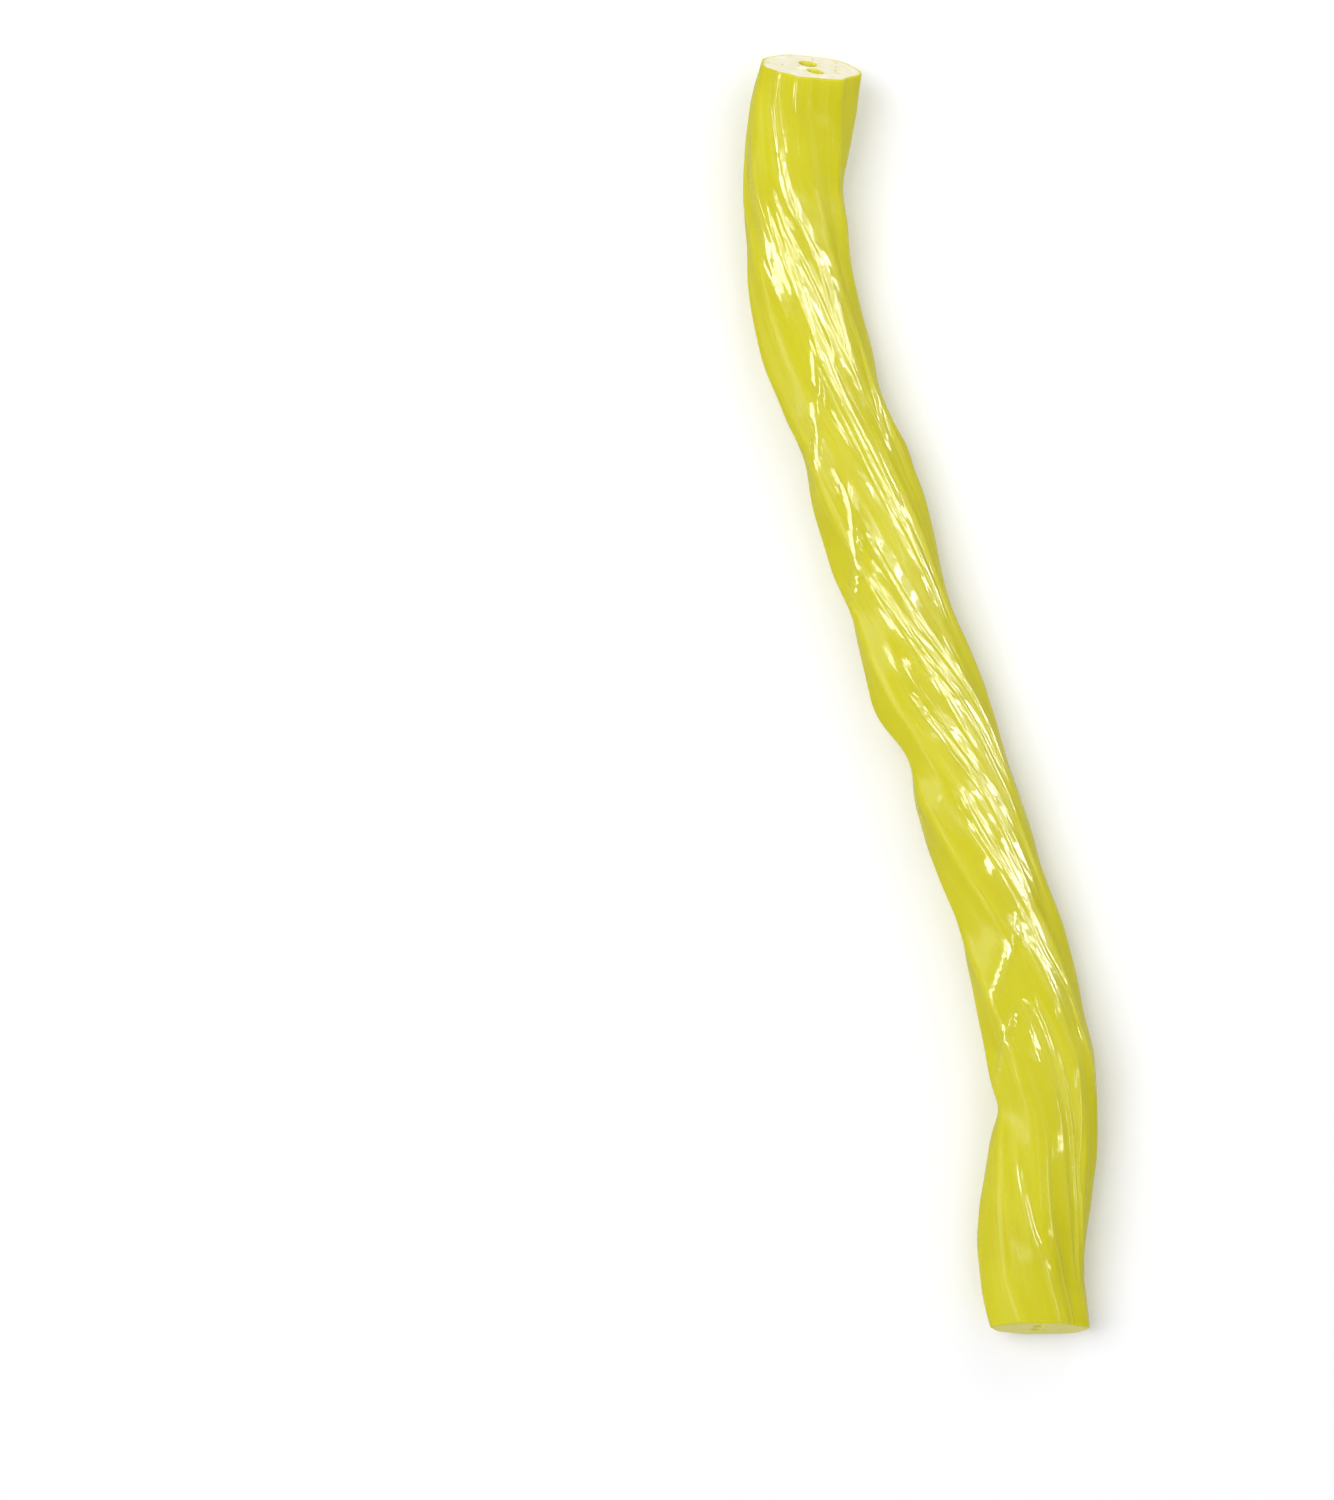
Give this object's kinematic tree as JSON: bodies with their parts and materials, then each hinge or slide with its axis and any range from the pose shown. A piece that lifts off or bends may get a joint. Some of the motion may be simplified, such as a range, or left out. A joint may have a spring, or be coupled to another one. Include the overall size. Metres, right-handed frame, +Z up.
{
  "type": "honeydew licorice twist",
  "caption": "Soft yellow-green candy rope with ridged sides, gently twisted along its length, with fine channels running through it, lying in a slight S bend with one end raised a little.",
  "frame": {"origin": "bottom centre of the bounding box, on the surface the piece lies on", "axes": "+Z up, +Y along the piece towards its raised cut end, +X to the right as seen from above with +Y away"},
  "size_m": [0.0355, 0.1285, 0.0122],
  "materials": {
    "candy": "soft gloss skin, paler and duller where it is cut"
  },
  "bodies": {
    "root": {"twist": "candy"}
  },
  "joints": []
}
